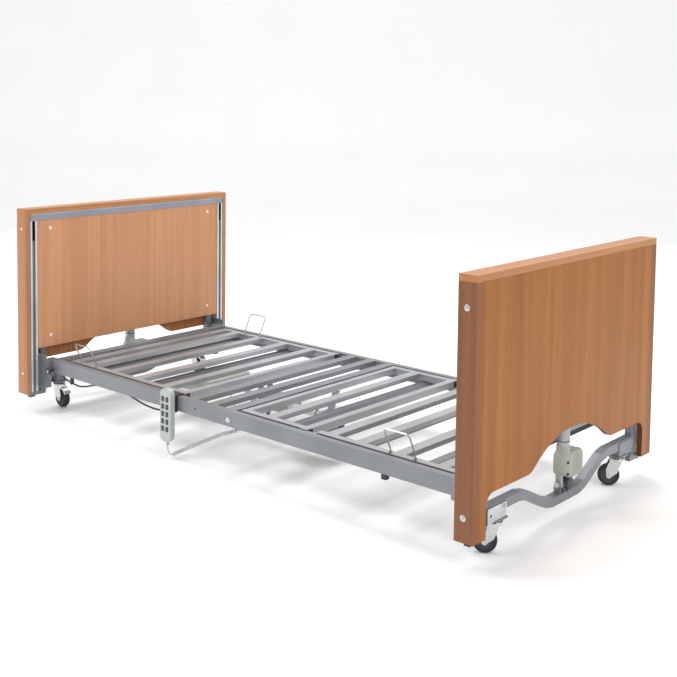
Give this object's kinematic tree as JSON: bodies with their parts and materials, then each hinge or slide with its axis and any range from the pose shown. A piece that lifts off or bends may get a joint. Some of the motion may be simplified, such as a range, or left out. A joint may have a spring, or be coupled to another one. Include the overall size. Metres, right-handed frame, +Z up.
{
  "type": "adjustable hospital bed",
  "caption": "Low profiling bed: wooden head and foot ends that rise on motor columns, a slatted platform with lifting back, thigh and calf sections, castors and a corded handset.",
  "frame": {"origin": "on the floor, under the middle of the bed", "axes": "+X towards the foot end, +Y towards the side without the handset, +Z up"},
  "size_m": [2.18, 1.06, 0.816],
  "materials": {
    "beech": "satin orange-brown beech laminate with a fine vertical grain",
    "grey_steel": "smooth mid-grey powder coat",
    "aluminium": "satin anodised extrusion",
    "zinc": "bright zinc plate",
    "grey_plastic": "warm light grey moulded plastic",
    "handset_plastic": "pale green-grey moulded plastic",
    "black_plastic": "black moulded plastic",
    "tyre_rubber": "dark grey rubber tread on a plastic wheel",
    "wire_steel": "plated steel wire",
    "cord_grey": "light grey sheathed cable",
    "cord_black": "black sheathed cable"
  },
  "bodies": {
    "head_base": {"head_base_frame": "grey_steel", "head_lift_motor": "grey_plastic"},
    "foot_base": {"foot_base_frame": "grey_steel", "foot_lift_motor": "grey_plastic"},
    "bed_frame": {"head_top_cap": "beech", "head_side_board_near": "beech", "head_side_board_far": "beech", "head_outer_panel": "beech", "head_inner_panel": "beech", "head_top_bar": "grey_steel", "head_guide_channel_near": "aluminium", "head_guide_channel_far": "aluminium", "foot_top_cap": "beech", "foot_side_board_near": "beech", "foot_side_board_far": "beech", "foot_outer_panel": "beech", "foot_inner_panel": "beech", "foot_top_bar": "grey_steel", "foot_guide_channel_near": "aluminium", "foot_guide_channel_far": "aluminium", "platform_head_half": "grey_steel", "platform_foot_half": "grey_steel", "backrest_actuator": "grey_plastic", "knee_actuator": "grey_plastic", "control_box": "grey_plastic", "handset_cord_tail": "cord_grey", "handset_cord_coil": "cord_grey", "handset_cord_box_end": "cord_grey", "head_lift_lead": "cord_black"},
    "backrest": {"backrest_section": "grey_steel", "backrest_retainer_near": "wire_steel", "backrest_retainer_far": "wire_steel"},
    "thigh": {"thigh_section": "grey_steel"},
    "calf": {"calf_section": "grey_steel", "calf_retainer_near": "wire_steel", "calf_retainer_far": "wire_steel"},
    "backrest_rod": {"backrest_actuator_rod": "zinc"},
    "knee_rod": {"knee_actuator_rod": "zinc"},
    "handset": {"handset": "handset_plastic", "handset_hook": "black_plastic"},
    "head_near_castor": {"head_near_castor_fork": "zinc"},
    "head_near_wheel": {"head_near_castor_wheel": "tyre_rubber"},
    "head_far_castor": {"head_far_castor_fork": "zinc"},
    "head_far_wheel": {"head_far_castor_wheel": "tyre_rubber"},
    "foot_near_castor": {"foot_near_castor_fork": "zinc"},
    "foot_near_wheel": {"foot_near_castor_wheel": "tyre_rubber"},
    "foot_far_castor": {"foot_far_castor_fork": "zinc"},
    "foot_far_wheel": {"foot_far_castor_wheel": "tyre_rubber"},
    "head_near_brake": {"head_near_brake_pedal": "zinc"},
    "head_far_brake": {"head_far_brake_pedal": "zinc"},
    "button_a1": {"handset_button_a1": "black_plastic"},
    "button_a2": {"handset_button_a2": "black_plastic"},
    "button_a3": {"handset_button_a3": "black_plastic"},
    "button_a4": {"handset_button_a4": "black_plastic"},
    "button_a5": {"handset_button_a5": "black_plastic"},
    "button_b1": {"handset_button_b1": "black_plastic"},
    "button_b2": {"handset_button_b2": "black_plastic"},
    "button_b3": {"handset_button_b3": "black_plastic"},
    "button_b4": {"handset_button_b4": "black_plastic"},
    "button_b5": {"handset_button_b5": "black_plastic"}
  },
  "joints": [
    {"name": "head_lift", "type": "slide", "parent": "head_base", "child": "bed_frame", "axis": [0, 0, 1], "range_m": [0, 0.4]},
    {"name": "foot_lift", "type": "slide", "parent": "bed_frame", "child": "foot_base", "axis": [0, 0, -1], "range_m": [0, 0.4]},
    {"name": "backrest_tilt", "type": "hinge", "parent": "bed_frame", "child": "backrest", "pos_m": [-0.205, 0, 0.2055], "axis": [0, 1, 0], "range_deg": [0, 70]},
    {"name": "backrest_rod_slide", "type": "slide", "parent": "bed_frame", "child": "backrest_rod", "axis": [-1, 0, 0], "range_m": [0, 0.15]},
    {"name": "thigh_tilt", "type": "hinge", "parent": "bed_frame", "child": "thigh", "pos_m": [0.08, 0, 0.2055], "axis": [0, -1, 0], "range_deg": [0, 35]},
    {"name": "calf_tilt", "type": "hinge", "parent": "thigh", "child": "calf", "pos_m": [0.395, 0, 0.2055], "axis": [0, 1, 0], "range_deg": [0, 55]},
    {"name": "knee_rod_slide", "type": "slide", "parent": "bed_frame", "child": "knee_rod", "axis": [1, 0, 0], "range_m": [0, 0.0725]},
    {"name": "head_near_castor_swivel", "type": "hinge", "parent": "head_base", "child": "head_near_castor", "pos_m": [-1.052, -0.366, 0.09], "axis": [0, 0, 1], "continuous": true},
    {"name": "head_near_wheel_spin", "type": "hinge", "parent": "head_near_castor", "child": "head_near_wheel", "pos_m": [-1.026, -0.366, 0.036], "axis": [0, 1, 0], "continuous": true},
    {"name": "head_far_castor_swivel", "type": "hinge", "parent": "head_base", "child": "head_far_castor", "pos_m": [-1.052, 0.366, 0.09], "axis": [0, 0, 1], "continuous": true},
    {"name": "head_far_wheel_spin", "type": "hinge", "parent": "head_far_castor", "child": "head_far_wheel", "pos_m": [-1.026, 0.366, 0.036], "axis": [0, 1, 0], "continuous": true},
    {"name": "foot_near_castor_swivel", "type": "hinge", "parent": "foot_base", "child": "foot_near_castor", "pos_m": [1.052, -0.366, 0.09], "axis": [0, 0, 1], "continuous": true},
    {"name": "foot_near_wheel_spin", "type": "hinge", "parent": "foot_near_castor", "child": "foot_near_wheel", "pos_m": [1.03033, -0.38036, 0.036], "axis": [0.5524, -0.8336, 0], "continuous": true},
    {"name": "foot_far_castor_swivel", "type": "hinge", "parent": "foot_base", "child": "foot_far_castor", "pos_m": [1.052, 0.366, 0.09], "axis": [0, 0, 1], "continuous": true},
    {"name": "foot_far_wheel_spin", "type": "hinge", "parent": "foot_far_castor", "child": "foot_far_wheel", "pos_m": [1.03033, 0.35164, 0.036], "axis": [0.5524, -0.8336, 0], "continuous": true},
    {"name": "head_near_brake_tilt", "type": "hinge", "parent": "head_near_castor", "child": "head_near_brake", "pos_m": [-1.022, -0.366, 0.078], "axis": [0, -1, 0], "range_deg": [0, 8]},
    {"name": "head_far_brake_tilt", "type": "hinge", "parent": "head_far_castor", "child": "head_far_brake", "pos_m": [-1.022, 0.366, 0.078], "axis": [0, -1, 0], "range_deg": [0, 8]},
    {"name": "handset_lift", "type": "slide", "parent": "bed_frame", "child": "handset", "axis": [0, 0, 1], "range_m": [0, 0.1]},
    {"name": "button_a1_press", "type": "slide", "parent": "handset", "child": "button_a1", "axis": [0, 1, 0], "range_m": [0, 0.0015], "stiffness_N_per_m": 300, "springref_m": -0.001},
    {"name": "button_a2_press", "type": "slide", "parent": "handset", "child": "button_a2", "axis": [0, 1, 0], "range_m": [0, 0.0015], "stiffness_N_per_m": 300, "springref_m": -0.001},
    {"name": "button_a3_press", "type": "slide", "parent": "handset", "child": "button_a3", "axis": [0, 1, 0], "range_m": [0, 0.0015], "stiffness_N_per_m": 300, "springref_m": -0.001},
    {"name": "button_a4_press", "type": "slide", "parent": "handset", "child": "button_a4", "axis": [0, 1, 0], "range_m": [0, 0.0015], "stiffness_N_per_m": 300, "springref_m": -0.001},
    {"name": "button_a5_press", "type": "slide", "parent": "handset", "child": "button_a5", "axis": [0, 1, 0], "range_m": [0, 0.0015], "stiffness_N_per_m": 300, "springref_m": -0.001},
    {"name": "button_b1_press", "type": "slide", "parent": "handset", "child": "button_b1", "axis": [0, 1, 0], "range_m": [0, 0.0015], "stiffness_N_per_m": 300, "springref_m": -0.001},
    {"name": "button_b2_press", "type": "slide", "parent": "handset", "child": "button_b2", "axis": [0, 1, 0], "range_m": [0, 0.0015], "stiffness_N_per_m": 300, "springref_m": -0.001},
    {"name": "button_b3_press", "type": "slide", "parent": "handset", "child": "button_b3", "axis": [0, 1, 0], "range_m": [0, 0.0015], "stiffness_N_per_m": 300, "springref_m": -0.001},
    {"name": "button_b4_press", "type": "slide", "parent": "handset", "child": "button_b4", "axis": [0, 1, 0], "range_m": [0, 0.0015], "stiffness_N_per_m": 300, "springref_m": -0.001},
    {"name": "button_b5_press", "type": "slide", "parent": "handset", "child": "button_b5", "axis": [0, 1, 0], "range_m": [0, 0.0015], "stiffness_N_per_m": 300, "springref_m": -0.001}
  ],
  "couplings": [
    {"joint": "foot_lift", "follows": "head_lift", "ratio": 1},
    {"joint": "backrest_rod_slide", "follows": "backrest_tilt", "m_per_rad": 0.12206},
    {"joint": "calf_tilt", "follows": "thigh_tilt", "ratio": 1.548},
    {"joint": "knee_rod_slide", "follows": "thigh_tilt", "m_per_rad": 0.11815}
  ]
}
